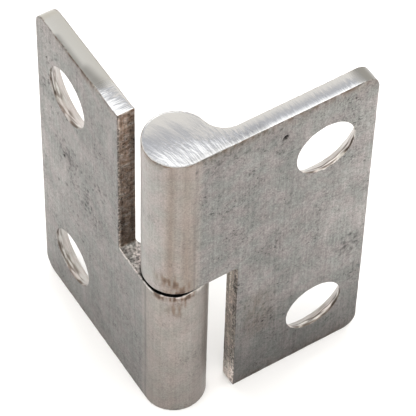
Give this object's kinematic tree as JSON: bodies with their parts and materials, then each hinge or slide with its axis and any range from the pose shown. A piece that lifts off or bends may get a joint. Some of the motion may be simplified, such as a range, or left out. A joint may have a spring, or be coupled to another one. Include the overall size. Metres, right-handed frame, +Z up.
{
  "type": "lift-off hinge",
  "caption": "Small square stainless lift-off butt hinge: equal solid leaves with half knuckles, countersunk screw holes and a hidden fixed pin.",
  "frame": {"origin": "on the pin's axis, at the lower end face of the fixed leaf's knuckle", "axes": "+Z up along the pin; the lift-off leaf stands along +X and the fixed leaf along +Y, open at a right angle, with their outer (mounting) faces towards -Y and -X"},
  "size_m": [0.0291, 0.0291, 0.05],
  "materials": {
    "leaf_steel": "mill-finish stainless, dull and lightly pitted on the faces, milled bright on the ends",
    "pin_steel": "ground"
  },
  "bodies": {
    "fixed_leaf": {"fixed_leaf": "leaf_steel"},
    "hinge_pin": {"hinge_pin": "pin_steel"},
    "lift_off_leaf": {"lift_off_leaf": "leaf_steel"}
  },
  "joints": [
    {"name": "swing", "type": "hinge", "parent": "fixed_leaf", "child": "hinge_pin", "pos_m": [0, 0, 0.025], "axis": [0, 0, 1], "range_deg": [-200, 97]},
    {"name": "lift_off", "type": "slide", "parent": "hinge_pin", "child": "lift_off_leaf", "axis": [0, 0, 1], "range_m": [0, 0.024]}
  ]
}
